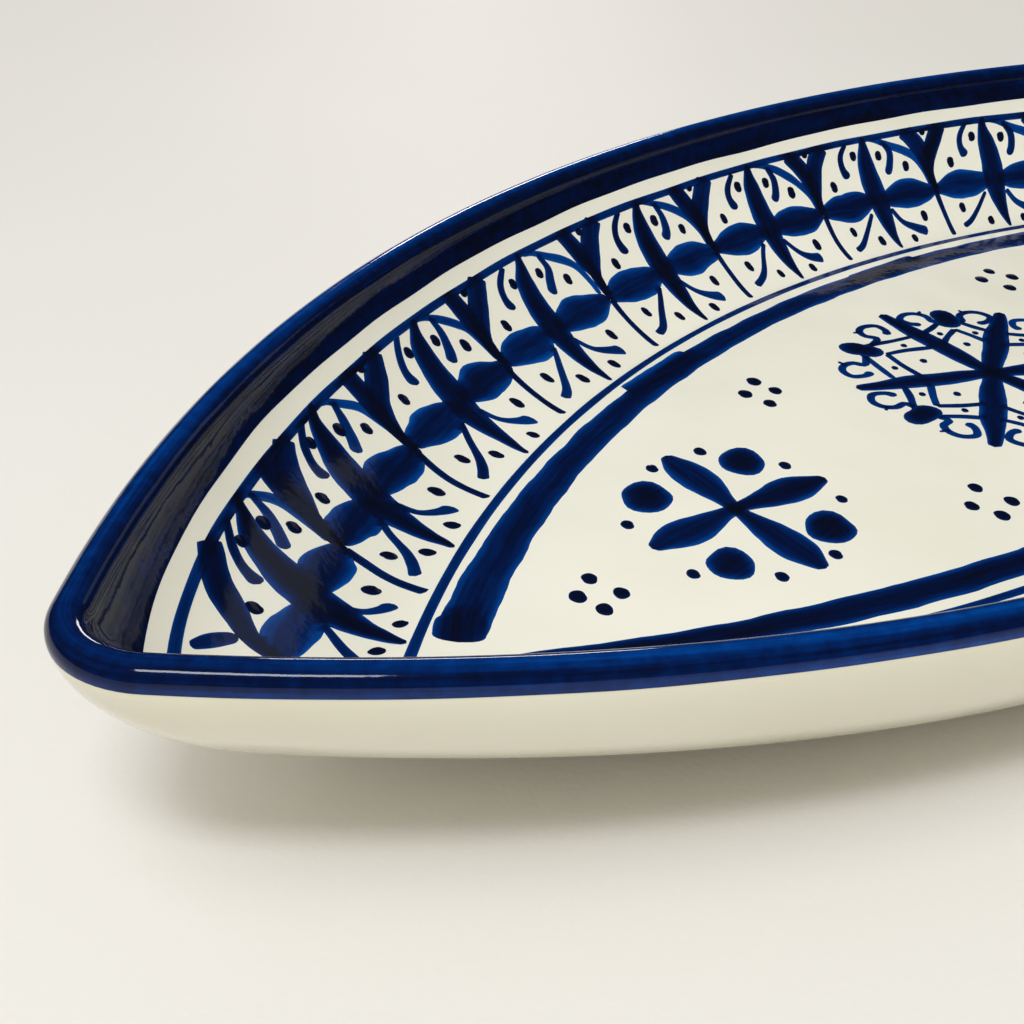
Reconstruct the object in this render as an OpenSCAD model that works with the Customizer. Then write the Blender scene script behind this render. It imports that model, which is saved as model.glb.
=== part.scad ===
// Pointed-oval serving dish of painted, glazed earthenware.
// Origin: centre of the foot ring's underside. +X runs along the length, +Y across, +Z up.
// All sizes are in millimetres.

/* [Dish] */
// Length over the two pointed ends
dish_length = 400; // [385:5:420]
// Width at mid length
dish_width = 178; // [166:2:190]
// Height of the lip at mid length
dish_height = 37; // [34:1:40]
// Extra height of the lip at the pointed ends
tip_rise = 3.5; // [0:0.5:6]
// Plan radius of the pointed ends
tip_radius = 13.5; // [11:0.5:16]
// Thickness of the rolled lip
lip_thickness = 5.2; // [4.8:0.2:6.4]

/* [Floor and wall] */
// Length of the flat floor inside
floor_length = 300; // [280:2:304]
// Width of the flat floor inside
floor_width = 108; // [100:2:112]
// Height of the glazed floor above the table
floor_height = 10; // [9.5:0.5:12]
// Fullness of the inside wall, where 1 is straight and 2 is a quarter round
wall_fullness = 1.4; // [1.2:0.1:1.5]

/* [Underside] */
// Length of the flat underside
base_length = 240; // [236:2:248]
// Width of the flat underside
base_width = 134; // [126:2:138]
// Fullness of the outside wall, where 1 is straight and 2 is a quarter round
outside_fullness = 1.7; // [1.7:0.1:2]
// Height of the foot ring
foot_height = 3; // [2:0.5:3.5]
// Width of the foot ring's wall
foot_wall = 7; // [5:0.5:9]

/* [Glaze and paint] */
// Thickness of the glaze coat
glaze = 0.5; // [0.4:0.1:0.8]
// Thickness of one layer of brush strokes
paint = 0.15; // [0.1:0.05:0.2]
// Width of the thin line round the floor
thin_line_width = 1.6; // [1:0.2:2.4]
// Leaf strokes along each long side
leaf_count = 10; // [8:1:10]

/* [Hidden] */
$fn = 48;

clay_colour = "#c99a72";
glaze_colour = "#efece0";
cobalt = "#12306e";
dark_cobalt = "#0a1c48";
ink = "#0b1326";

half_length = dish_length / 2;
half_width = dish_width / 2;
lip_r = lip_thickness / 2;
lip_z = dish_height - lip_r;
inner_a = half_length - lip_thickness;
inner_b = half_width - lip_thickness;
inner_tip = tip_radius - lip_thickness;
floor_a = floor_length / 2;
floor_b = floor_width / 2;
floor_tip = 5;
base_a = base_length / 2;
base_b = base_width / 2;
base_tip = 9;
foot_inset = 4;
foot_a = base_a - foot_inset;
foot_b = base_b - foot_inset;
foot_inner_tip = 4;
bend = 2 / wall_fullness;
swell = 2 / outside_fullness;

// Steps round each half tip, and along each quarter of the outline
tip_steps = 4;
side_steps = 20;
quarter = tip_steps + side_steps;
around = 4 * quarter;

// Angles along the profile: inside wall from 0 at the floor to 90 at the lip,
// lip from 180 inside to 0 outside, outside wall from 0 at the lip to 90 at the base
wall_angles = [0, 10, 20, 32, 45, 60];
band_inner_edge = 72;
band_outer_edge = 2;
border_top = 66;
border_line_low = 63;
lip_angles = [180, 135, 90, 45, 0];
outside_angles = [14, 30, 46, 62, 77, 90];

// ---- Outline: two long arcs with a rounded tip at each end ----

function arc_radius(a, b, r) = (pow(a - r, 2) + b * b - r * r) / (2 * (b - r));

function arc_angle(a, b, r) = asin((a - r) / (arc_radius(a, b, r) - r));

function outline_quarter(a, b, r) =
    let (big = arc_radius(a, b, r), drop = big - b, sweep = arc_angle(a, b, r))
    concat(
        [for (k = [0 : tip_steps])
            let (t = 90 - (90 - sweep) * k / tip_steps)
            [a - r + r * sin(t), r * cos(t)]],
        [for (k = [1 : side_steps])
            let (t = sweep * (1 - k / side_steps))
            [big * sin(t), big * cos(t) - drop]]
    );

function outline(a, b, r) =
    let (q = outline_quarter(a, b, r))
    concat(
        q,
        [for (k = [quarter - 1 : -1 : 0]) [-q[k].x, q[k].y]],
        [for (k = [1 : quarter]) [-q[k].x, -q[k].y]],
        [for (k = [quarter - 1 : -1 : 1]) [q[k].x, -q[k].y]]
    );

// ---- Profile rows [a, b, tip radius, z, share of the tip rise], sunk by a depth ----

function shifted(a, b, r, z, rise, side, up) = [a + side, b + side, r + side, z + up, rise];

function inside_row(angle, depth) =
    let (
        t = min(max(angle, 1), 89),
        run = pow(sin(angle), bend),
        lift = 1 - pow(cos(angle), bend),
        db = (inner_b - floor_b) * pow(sin(t), bend - 1) * cos(t),
        dz = (lip_z - floor_height) * pow(cos(t), bend - 1) * sin(t),
        slope = norm([db, dz])
    )
    shifted(
        floor_a + (inner_a - floor_a) * run,
        floor_b + (inner_b - floor_b) * run,
        floor_tip + (inner_tip - floor_tip) * run,
        floor_height + (lip_z - floor_height) * lift,
        lift, depth * dz / slope, -depth * db / slope
    );

function lip_row(angle, depth) =
    let (side = (lip_r - depth) * cos(angle) - lip_r)
    shifted(half_length, half_width, tip_radius, lip_z, 1, side, (lip_r - depth) * sin(angle));

function outside_row(angle, depth) =
    let (
        t = min(max(angle, 1), 89),
        run = pow(cos(angle), swell),
        drop = pow(sin(angle), swell),
        db = (half_width - base_b) * pow(cos(t), swell - 1) * sin(t),
        dz = (lip_z - foot_height) * pow(sin(t), swell - 1) * cos(t),
        slope = norm([db, dz])
    )
    shifted(
        base_a + (half_length - base_a) * run,
        base_b + (half_width - base_b) * run,
        base_tip + (tip_radius - base_tip) * run,
        lip_z - (lip_z - foot_height) * drop,
        1 - drop, -depth * dz / slope, depth * db / slope
    );

function ring(row) =
    [for (p = outline(row[0], row[1], row[2]))
        [p.x, p.y, row[3] + tip_rise * row[4] * pow(p.x / half_length, 2)]];

function inside_rows(angles, depth) = [for (t = angles) inside_row(t, depth)];
function lip_rows(angles, depth) = [for (t = angles) lip_row(t, depth)];
function outside_rows(angles, depth) = [for (t = angles) outside_row(t, depth)];
function reversed(list) = [for (k = [len(list) - 1 : -1 : 0]) list[k]];

// ---- Closed solids from rings ----

// Triangles between two rings. On the way back along a skin's underside the quads are split
// along the other diagonal, so that they match the face of the solid that they lie on.
function band_faces(i, j, back = false) =
    [for (k = [0 : around - 1])
        let (a = i * around + k, b = i * around + (k + 1) % around,
             c = j * around + (k + 1) % around, d = j * around + k)
        each back ? [[a, b, d], [b, c, d]] : [[a, b, c], [a, c, d]]];

// Dish-like solid: rings from the middle of one face, over the edge, to the middle of the
// other. A thin skin turns back at the ring whose number is turn.
module capped(rows, turn = undef) {
    last = len(rows) - 1;
    back = is_undef(turn) ? len(rows) : turn;
    points = [for (row = rows) each ring(row)];
    faces = concat(
        [[for (k = [around - 1 : -1 : 0]) k]],
        [for (i = [0 : last - 1]) each band_faces(i, i + 1, i >= back)],
        [[for (k = [0 : around - 1]) last * around + k]]
    );
    polyhedron(points, faces);
}

// Hoop-like skin: rings along one face, then back along the other
module hoop(rows) {
    count = len(rows);
    points = [for (row = rows) each ring(row)];
    faces = [for (i = [0 : count - 1]) each band_faces(i, (i + 1) % count, i >= count / 2)];
    polyhedron(points, faces);
}

// ---- Brush strokes on the inside wall ----

// A place on the wall of the +Y side: along runs from -1 to 1 between the tips, up from 0 at
// the floor to 1 at the border line, and above is the height over the glaze
function wall_point(along, up, above) =
    let (
        row = inside_row(border_top * pow(max(up, 0), wall_spread), -above),
        big = arc_radius(row[0], row[1], row[2]),
        turn = arc_angle(row[0], row[1], row[2]) * along,
        x = big * sin(turn),
        y = big * cos(turn) - (big - row[1])
    )
    [x, y, row[3] + tip_rise * row[4] * pow(x / half_length, 2)];

// A place in one repeat of the border: across counts repeats from the middle of its leaf
function repeat_point(place, across, up, above) =
    wall_point(place + lean * (lean_free - place) * (up - leaf_pivot) + across * step, up, above);

// The second long side is the first one turned half round
function turned(p, side) = [side * p.x, side * p.y, p.z];

// One stroke is a list of [across, up, half width across, half width up] stations
function stroke_points(side, place, stations, low, high) =
    [for (s = stations)
        each [turned(repeat_point(place, s[0] - s[2], s[1] - s[3], low), side),
              turned(repeat_point(place, s[0] + s[2], s[1] + s[3], low), side),
              turned(repeat_point(place, s[0] + s[2], s[1] + s[3], high), side),
              turned(repeat_point(place, s[0] - s[2], s[1] - s[3], high), side)]];

function stroke_faces(first, count) =
    concat(
        [[first, first + 1, first + 2], [first, first + 2, first + 3]],
        [for (i = [0 : count - 2], k = [0 : 3])
            let (p = first + 4 * i + k, q = first + 4 * i + (k + 1) % 4)
            each [[p, p + 4, q + 4], [p, q + 4, q]]],
        let (end = first + 4 * (count - 1))
        [[end + 2, end + 1, end], [end + 3, end + 2, end]]
    );

// Which way a stroke's stations wind, so that mirrored strokes can be turned right side out
function winding(p) = cross(p[1] - p[0], p[3] - p[0]) * (p[4] - p[0]);

// The same strokes in every repeat at the given places, on both sides, in their own layer
module strokes(places, motif, layer) {
    low = paint * (layer + 0.5);
    count = len(motif[0]);
    shells = [for (side = sides, place = places, stations = motif)
        stroke_points(side, place, stations, low, low + paint)];
    faces = [for (i = [0 : len(shells) - 1], f = stroke_faces(4 * count * i, count))
        winding(shells[i]) > 0 ? f : reversed(f)];
    polyhedron([for (s = shells) each s], faces);
}

// How the profile's angle grows with the height up the wall
wall_spread = 0.78;
// Leaves stand at even steps, a little off centre, and lean more towards the left end
sides = [1, -1];
step = 1.98 / leaf_count;
leaf_shift = -0.025;
leaf_pivot = 0.46;
lean = 0.14;
lean_free = 0.27;
leaf_places = [for (k = [0 : leaf_count - 1]) (k - (leaf_count - 1) / 2) * step + leaf_shift];
stem_places = [for (k = [0 : leaf_count - 2]) leaf_places[k]];

leaf = [[for (s = [[0.02, 0.015], [0.14, 0.035], [0.3, 0.065], [0.46, 0.085], [0.64, 0.08],
                   [0.82, 0.05], [0.97, 0.02]])
    [0, s[0], s[1], 0]]];

ovals = [for (hand = [-1, 1])
    [for (s = [[0.06, 0.02], [0.15, 0.1], [0.26, 0.123], [0.37, 0.1], [0.46, 0.02]])
        [hand * s[0], leaf_pivot, 0, s[1]]]];

// The two arms of the V that stands half a step from the leaf
stems = [for (hand = [-1, 1])
    [for (s = [[0.022, 0.5, 0.018], [0.045, 0.64, 0.035], [0.09, 0.78, 0.05], [0.14, 0.93, 0.055]])
        [0.5 + hand * s[0], s[1], s[2], 0]]];

// The long thin brush line that springs from the leaf's top to the foot of the V
arches = [[for (s = [[0.04, 0.93], [0.12, 0.9], [0.21, 0.84], [0.33, 0.77], [0.43, 0.66],
                     [0.47, 0.53]])
    [s[0], s[1], 0.012, 0.02]]];

// A hooked curl in each of the two fields over the ovals
curls = [
    [[0.19, 0.83, 0.015, 0], [0.24, 0.75, 0.02, 0.005],
     [0.22, 0.67, 0.02, -0.015], [0.16, 0.62, 0.01, -0.03]],
    [[-0.17, 0.91, 0.015, 0], [-0.22, 0.85, 0.02, 0.01],
     [-0.24, 0.77, 0.025, 0], [-0.19, 0.69, 0.03, -0.03]]
];

// A club that swings out from the foot of the leaf to each side
clubs = [
    [[0.09, 0.32, 0.01, 0.012], [0.18, 0.21, 0.02, 0.025], [0.29, 0.14, 0.03, 0.045]],
    [[-0.11, 0.33, -0.01, 0.012], [-0.22, 0.22, -0.015, 0.025], [-0.37, 0.11, -0.015, 0.035]]
];

divider = [[for (t = [0.02, 0.18, 0.34]) [0.5, t, 0.02, 0]]];

dots = [
    [0.15, 0.79], [0.335, 0.645], [-0.114, 0.826], [-0.323, 0.636],
    [0.32, 0.265], [0.148, 0.089], [-0.327, 0.265], [-0.137, 0.127]
];
dot_r = 1.15;

// A round dot of colour standing on the wall
module wall_dot(side, place, across, up) {
    foot = turned(repeat_point(place, across, up, paint / 2), side);
    out = turned(repeat_point(place, across, up, 1), side) - foot;
    translate(foot)
        rotate([0, acos(out.z / norm(out)), atan2(out.y, out.x)])
            cylinder(r = dot_r, h = 2 * paint);
}

// ---- Flat shapes on the floor ----

function inset(by, r) = outline(floor_a - by.x, floor_b - by.y, r);

module on_floor(thickness = paint) {
    translate([0, 0, floor_height])
        linear_extrude(thickness)
            children();
}

// Pointed petal from start to start + length along +X
module petal(start, length, width) {
    radius = (length * length + width * width) / (4 * width);
    translate([start + length / 2, 0])
        intersection() {
            translate([0, width / 2 - radius]) circle(radius, $fn = 240);
            translate([0, radius - width / 2]) circle(radius, $fn = 240);
        }
}

// Narrow band through stations [angle, radius], in polar coordinates
module rung(stations, width) {
    polygon(concat(
        [for (p = stations) (p[1] + width / 2) * [cos(p[0]), sin(p[0])]],
        [for (p = reversed(stations)) (p[1] - width / 2) * [cos(p[0]), sin(p[0])]]
    ));
}

// Insets of the floor's lines along the length and across the width
thin_line_inset = 0.4;
band_outer_inset = [5.8, 4.6];
band_inner_inset = [14.3, 10.8];

flower_x = 78;
flower_turn = -10;
flower_petal = [20, 6.4];
flower_dab_reach = 16;
flower_dab_r = 4.4;
flower_dot_reach = 19.6;
flower_dot_r = 1.1;
flower_dot_spread = 20;

medallion_petal = [30, 6];
medallion_reach = 25;
medallion_dab_r = 3;
inner_rung = [[17, 15], [8, 17], [0, 19.5], [-8, 17], [-17, 15]];
outer_rung = [[7.5, 24], [13, 22], [20, 20.8]];
rung_width = 0.9;
medallion_dots_at = [[0, 13], [13, 19], [-13, 19]];
medallion_dot_r = 0.7;
curl_r = 3;
curl_width = 0.9;
curl_spread = 15;

cluster_reach = 3.9;
cluster_dot_r = 1.4;
cluster_places = [[-114, -2], [-41, 25], [-44, -26], [41, 26], [44, -25], [114, 2]];
flower_places = [-flower_x, flower_x];
sectors = [0 : 5];
hands = [-1, 1];

// ---- Sub-parts ----

// Fired clay shell: floor, flaring wall and rolled lip
module clay_body() {
    color(clay_colour)
        capped(concat(
            inside_rows(concat(wall_angles, [band_inner_edge]), glaze),
            lip_rows(lip_angles, glaze),
            outside_rows(concat([band_outer_edge], outside_angles), glaze),
            [outside_row(90, 0)]
        ));
}

// Low ring of clay under the base, which the dish stands on
module foot_ring() {
    color(clay_colour)
        linear_extrude(foot_height)
            difference() {
                polygon(outline(foot_a, foot_b, base_tip));
                polygon(outline(foot_a - foot_wall, foot_b - foot_wall, foot_inner_tip));
            }
}

// White glaze over the floor and the wall, up to the rim band
module inside_glaze() {
    angles = concat(wall_angles, [band_inner_edge]);
    color(glaze_colour)
        capped(concat(inside_rows(angles, 0), reversed(inside_rows(angles, glaze))), len(angles));
}

// White glaze over the outside wall, from the rim band to the base
module outside_glaze() {
    angles = concat([band_outer_edge], outside_angles);
    color(glaze_colour)
        hoop(concat(outside_rows(angles, 0), reversed(outside_rows(angles, glaze))));
}

// Cobalt band over the lip, from the inside wall to just below the lip outside
module rim_band() {
    color(cobalt)
        hoop(concat(
            [inside_row(band_inner_edge, 0)],
            lip_rows(lip_angles, 0),
            [outside_row(band_outer_edge, 0), outside_row(band_outer_edge, glaze)],
            reversed(lip_rows(lip_angles, glaze)),
            [inside_row(band_inner_edge, glaze)]
        ));
}

module border_line() {
    color(cobalt)
        hoop([
            inside_row(border_line_low, -1.5 * paint), inside_row(border_top, -1.5 * paint),
            inside_row(border_top, -0.5 * paint), inside_row(border_line_low, -0.5 * paint)
        ]);
}

module divider_strokes() {
    color(cobalt) strokes(stem_places, divider, 0);
}

module arch_strokes() {
    color(cobalt) strokes(leaf_places, arches, 1);
}

module stem_strokes() {
    color(dark_cobalt) strokes(stem_places, stems, 2);
}

module oval_strokes() {
    color(cobalt) strokes(leaf_places, ovals, 3);
}

module leaf_strokes() {
    color(dark_cobalt) strokes(leaf_places, leaf, 4);
}

module curl_strokes() {
    color(cobalt) strokes(leaf_places, curls, 0);
}

module club_strokes() {
    color(cobalt) strokes(leaf_places, clubs, 0);
}

module border_dots() {
    color(ink)
        for (side = sides, place = leaf_places, d = dots)
            wall_dot(side, place, d[0], d[1]);
}

module thin_line() {
    color(cobalt)
        on_floor()
            difference() {
                polygon(inset(thin_line_inset * [1, 1], floor_tip - thin_line_inset));
                polygon(inset((thin_line_inset + thin_line_width) * [1, 1], 3));
            }
}

module floor_band() {
    color(cobalt)
        on_floor()
            difference() {
                polygon(inset(band_outer_inset, 3));
                polygon(inset(band_inner_inset, 2));
            }
}

// Six petals of the medallion in the middle of the floor
module medallion_petals() {
    color(dark_cobalt)
        on_floor(2 * paint)
            for (k = sectors)
                rotate(60 * k + 30)
                    petal(1, medallion_petal[0], medallion_petal[1]);
}

// Rungs that tie each dab to the petals on both sides of it
module medallion_lattice() {
    color(cobalt)
        on_floor()
            for (k = sectors)
                rotate(60 * k) {
                    rung(inner_rung, rung_width);
                    rung(outer_rung, rung_width);
                    mirror([0, 1]) rung(outer_rung, rung_width);
                }
}

// Hooked curls either side of each dab round the medallion
module medallion_curls() {
    color(cobalt)
        on_floor()
            for (k = sectors, h = hands)
                rotate(60 * k + h * curl_spread)
                    translate([medallion_reach, 0])
                        difference() {
                            circle(curl_r);
                            circle(curl_r - curl_width);
                            translate([-curl_r - 1, h > 0 ? -curl_r - 1 : 0]) square(curl_r + 1);
                        }
}

module medallion_dabs() {
    color(ink)
        on_floor(2 * paint)
            for (k = sectors)
                rotate(60 * k)
                    translate([medallion_reach, 0])
                        circle(medallion_dab_r);
}

// A small dot in each cell of the lattice
module medallion_dots() {
    color(ink)
        on_floor()
            for (k = sectors, p = medallion_dots_at)
                rotate(60 * k + p[0])
                    translate([p[1], 0])
                        circle(medallion_dot_r);
}

// Four-petal flower near each end of the floor
module flower_petals() {
    color(dark_cobalt)
        on_floor(2 * paint)
            for (x = flower_places, k = [0 : 3])
                translate([x, 0])
                    rotate(90 * k + flower_turn)
                        petal(-0.5, flower_petal[0], flower_petal[1]);
}

module flower_dabs() {
    color(cobalt)
        on_floor()
            for (x = flower_places, k = [0 : 3])
                translate([x, 0])
                    rotate(90 * k + 45 + flower_turn)
                        translate([flower_dab_reach, 0]) circle(flower_dab_r);
}

module flower_dots() {
    color(ink)
        on_floor(2 * paint)
            for (x = flower_places, k = [0 : 3], h = hands)
                translate([x, 0])
                    rotate(90 * k + h * flower_dot_spread + flower_turn)
                        translate([flower_dot_reach, 0]) circle(flower_dot_r);
}

// Dots in groups of four over the white floor
module cluster_dots() {
    color(ink)
        on_floor(2 * paint)
            for (p = cluster_places, k = [0 : 3])
                translate(p)
                    rotate(90 * k + 45)
                        translate([cluster_reach, 0]) circle(cluster_dot_r);
}

clay_body();
foot_ring();
inside_glaze();
outside_glaze();
rim_band();
border_line();
divider_strokes();
arch_strokes();
stem_strokes();
oval_strokes();
leaf_strokes();
curl_strokes();
club_strokes();
border_dots();
thin_line();
floor_band();
medallion_petals();
medallion_lattice();
medallion_curls();
medallion_dabs();
medallion_dots();
flower_petals();
flower_dabs();
flower_dots();
cluster_dots();
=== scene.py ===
# Hand painted pointed-oval dish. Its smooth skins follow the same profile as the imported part, and
# every brush stroke is a thin closed mesh that lies on them. Lengths are millimetres until a mesh
# is made, and heights are over the underside of the foot ring.
import math

import bpy
import numpy as np
from mathutils import Matrix, Vector


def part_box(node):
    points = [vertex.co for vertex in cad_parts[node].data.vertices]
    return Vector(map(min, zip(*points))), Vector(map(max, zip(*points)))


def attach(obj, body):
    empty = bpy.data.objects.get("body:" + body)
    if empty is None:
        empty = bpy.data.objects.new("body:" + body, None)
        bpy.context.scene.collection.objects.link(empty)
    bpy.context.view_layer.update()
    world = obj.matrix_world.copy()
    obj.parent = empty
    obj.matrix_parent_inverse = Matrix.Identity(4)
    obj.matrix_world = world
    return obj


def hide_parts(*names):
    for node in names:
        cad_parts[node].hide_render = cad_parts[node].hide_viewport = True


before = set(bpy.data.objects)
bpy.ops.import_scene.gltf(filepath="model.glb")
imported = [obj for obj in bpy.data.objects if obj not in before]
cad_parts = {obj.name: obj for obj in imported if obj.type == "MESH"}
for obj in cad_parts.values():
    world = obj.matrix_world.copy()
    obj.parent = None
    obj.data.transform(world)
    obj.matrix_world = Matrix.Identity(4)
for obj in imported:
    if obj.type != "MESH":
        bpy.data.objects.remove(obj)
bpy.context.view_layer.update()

MM = 0.001
rng = np.random.default_rng(11)


# ---- Sizes, from the frame where it has them ----


def edge(node, which, axis):
    """The low (0) or high (1) side of a node's box along an axis, in millimetres."""
    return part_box(node)[which][axis] / MM


# Proportions of the profile that the boxes don't give
LIP_R = 2.6
TIP_RISE = 3.5
TIP_RADIUS = 13.5
FLOOR_TIP = 5.0
BASE_TIP = 9.0
BEND = 2 / 1.4
SWELL = 2 / 1.7
LINE_INSET = 0.4
FOOT_INSET = 4.0
FOOT_WALL = 7.0

HALF_LENGTH = edge("rim_band", 1, 0)
HALF_WIDTH = edge("rim_band", 1, 1)
LIP_TOP_RISE = TIP_RISE * ((HALF_LENGTH - LIP_R) / HALF_LENGTH) ** 2
LIP_Z = edge("rim_band", 1, 2) - LIP_R - LIP_TOP_RISE
FLOOR_Z = edge("thin_line", 0, 2)
FLOOR_A = edge("thin_line", 1, 0) + LINE_INSET
FLOOR_B = edge("thin_line", 1, 1) + LINE_INSET
FOOT_TOP = edge("foot_ring", 1, 2)
FOOT_A = edge("foot_ring", 1, 0)
FOOT_B = edge("foot_ring", 1, 1)
BASE_A = FOOT_A + FOOT_INSET
BASE_B = FOOT_B + FOOT_INSET
INNER_A = HALF_LENGTH - 2 * LIP_R
INNER_B = HALF_WIDTH - 2 * LIP_R
INNER_TIP = TIP_RADIUS - 2 * LIP_R

# The share of each quarter of the outline that is the tip's small arc
TIP_SHARE = 0.032


# ---- The dish's surface ----


def outline(v, a, b, r):
    """Plan position at v, which runs anticlockwise from 0 at the +X tip to 4, a quarter at a time."""
    big = ((a - r) ** 2 + b * b - r * r) / (2 * (b - r))
    sweep = np.arcsin((a - r) / (big - r))
    quarter = np.floor(v).astype(int) % 4
    part = v - np.floor(v)
    part = np.where(quarter % 2 == 1, 1 - part, part)
    tip_turn = math.pi / 2 - (math.pi / 2 - sweep) * part / TIP_SHARE
    side_turn = sweep * (1 - part) / (1 - TIP_SHARE)
    on_tip = part < TIP_SHARE
    x = np.where(on_tip, a - r + r * np.sin(tip_turn), big * np.sin(side_turn))
    y = np.where(on_tip, r * np.cos(tip_turn), big * np.cos(side_turn) - (big - b))
    x = np.where((quarter == 1) | (quarter == 2), -x, x)
    return x, np.where(quarter >= 2, -y, y)


def inside_row(angle, above):
    """Half length, half width, tip radius, height and share of the tip rise on the inside wall."""
    th = np.radians(angle)
    t = np.radians(np.clip(angle, 1, 89))
    run = np.sin(th) ** BEND
    lift = 1 - np.cos(th) ** BEND
    db = (INNER_B - FLOOR_B) * np.sin(t) ** (BEND - 1) * np.cos(t)
    dz = (LIP_Z - FLOOR_Z) * np.cos(t) ** (BEND - 1) * np.sin(t)
    slope = np.hypot(db, dz)
    side = -above * dz / slope
    return [
        FLOOR_A + (INNER_A - FLOOR_A) * run + side,
        FLOOR_B + (INNER_B - FLOOR_B) * run + side,
        FLOOR_TIP + (INNER_TIP - FLOOR_TIP) * run + side,
        FLOOR_Z + (LIP_Z - FLOOR_Z) * lift + above * db / slope,
        lift,
    ]


def lip_row(angle, above):
    """The same for the lip, whose angle falls from 180 inside to 0 outside."""
    t = np.radians(angle)
    side = (LIP_R + above) * np.cos(t) - LIP_R
    return [
        HALF_LENGTH + side,
        HALF_WIDTH + side,
        TIP_RADIUS + side,
        LIP_Z + (LIP_R + above) * np.sin(t),
        np.ones_like(t),
    ]


def outside_row(angle, above):
    """The same for the outside wall, from 0 at the lip to 90 at the base."""
    th = np.radians(np.clip(angle, 0, 90))
    t = np.radians(np.clip(angle, 1, 89))
    run = np.maximum(np.cos(th), 0) ** SWELL
    drop = np.sin(th) ** SWELL
    db = (HALF_WIDTH - BASE_B) * np.cos(t) ** (SWELL - 1) * np.sin(t)
    dz = (LIP_Z - FOOT_TOP) * np.sin(t) ** (SWELL - 1) * np.cos(t)
    slope = np.hypot(db, dz)
    side = above * dz / slope
    return [
        BASE_A + (HALF_LENGTH - BASE_A) * run + side,
        BASE_B + (HALF_WIDTH - BASE_B) * run + side,
        BASE_TIP + (TIP_RADIUS - BASE_TIP) * run + side,
        LIP_Z - (LIP_Z - FOOT_TOP) * drop - above * db / slope,
        1 - drop,
    ]


LIP_START = 90.0
LIP_END = 270.0


def skin(v, q, above=0.0):
    """A point over the glaze. q runs 0 to 90 up the inside wall, over the lip to 270, and down
    the outside to 360."""
    v, q, above = np.broadcast_arrays(
        np.asarray(v, float), np.asarray(q, float), np.asarray(above, float)
    )
    inside = np.stack(inside_row(np.clip(q, 0, 90), above))
    lip = np.stack(lip_row(np.clip(LIP_END - q, 0, 180), above))
    outside = np.stack(outside_row(np.clip(q - LIP_END, 0, 90), above))
    row = np.where(q <= LIP_START, inside, np.where(q <= LIP_END, lip, outside))
    x, y = outline(v, row[0], row[1], row[2])
    return np.stack([x, y, row[3] + TIP_RISE * row[4] * (x / HALF_LENGTH) ** 2], -1)


def unit(vectors):
    return vectors / np.maximum(np.linalg.norm(vectors, axis=-1, keepdims=True), 1e-12)


def skin_normal(v, q):
    """The direction straight out of the glaze."""
    dv = 1e-4
    dq = 0.05
    along = skin(v + dv, q) - skin(v - dv, q)
    up = skin(v, np.minimum(q + dq, 360)) - skin(v, np.maximum(q - dq, 0))
    return unit(np.cross(up, along))


def wobble(v, size, seed, waves=(3, 7, 13, 23, 38)):
    """A small wander that closes on itself once round the dish."""
    phases = np.random.default_rng(seed).uniform(0, 2 * math.pi, len(waves))
    total = sum(
        np.sin(math.pi / 2 * n * v + p) / n**0.35 for n, p in zip(waves, phases)
    )
    return size * total / math.sqrt(len(waves))


def quarter_steps():
    """Steps of v over one quarter, from tip to mid side, close together round the tip."""
    tip = np.linspace(0, TIP_SHARE, 9)[:-1]
    near = np.linspace(TIP_SHARE, 0.16, 15)[:-1]
    return np.concatenate([tip, near, np.linspace(0.16, 1, 58)[:-1]])


def round_steps():
    q = quarter_steps()
    back = 2 - q[1:][::-1]
    half = np.concatenate([q, [1.0], back])
    return np.concatenate([half, half + 2])


ROUND = round_steps()


# ---- Meshes ----


class Build:
    """Gathers points, faces and what each point carries, for one piece."""

    def __init__(self):
        self.points = []
        self.faces = []
        self.load = []
        self.streak = []
        self.normals = []
        self.count = 0

    def add(self, points, faces, normals, load=0.0, streak=(0.0, 0.0, 0.0)):
        n = len(points)
        self.points.append(np.asarray(points, float))
        self.normals.append(np.asarray(normals, float))
        self.load.append(np.broadcast_to(load, (n,)))
        self.streak.append(np.broadcast_to(streak, (n, 3)))
        self.faces.extend([tuple(int(i) + self.count for i in f) for f in faces])
        self.count += n

    def make(self, node, slot_name, material, suffix="paint"):
        """Makes the piece that stands for a CAD node. A zero normal leaves that point to Blender."""
        mesh = bpy.data.meshes.new(f"{node}_{suffix}")
        points = np.concatenate(self.points) * MM
        mesh.from_pydata(points.tolist(), [], self.faces)
        for name, kind, values in (
            ("paint_load", "FLOAT", np.concatenate(self.load)),
            ("streak", "FLOAT_VECTOR", np.concatenate(self.streak)),
        ):
            layer = mesh.attributes.new(name, kind, "POINT")
            key = "value" if kind == "FLOAT" else "vector"
            layer.data.foreach_set(key, np.ascontiguousarray(values, np.float32).ravel())
        mesh.validate()
        mesh.update()
        mesh.shade_smooth()
        mesh.normals_split_custom_set_from_vertices(np.concatenate(self.normals).tolist())
        mesh.materials.append(material)
        piece = bpy.data.objects.new(f"{node}_{suffix}", mesh)
        bpy.context.scene.collection.objects.link(piece)
        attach(piece, "root")
        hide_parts(node)
        return piece


def grid_faces(rows, columns, closed, first=0):
    """Quads of a grid of points, row by row. closed joins the last column to the first."""
    faces = []
    for i in range(rows - 1):
        a = first + i * columns
        b = a + columns
        for j in range(columns if closed else columns - 1):
            k = (j + 1) % columns
            faces.append((a + j, a + k, b + k, b + j))
    return faces


def flipped(faces):
    return [f[::-1] for f in faces]


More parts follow.
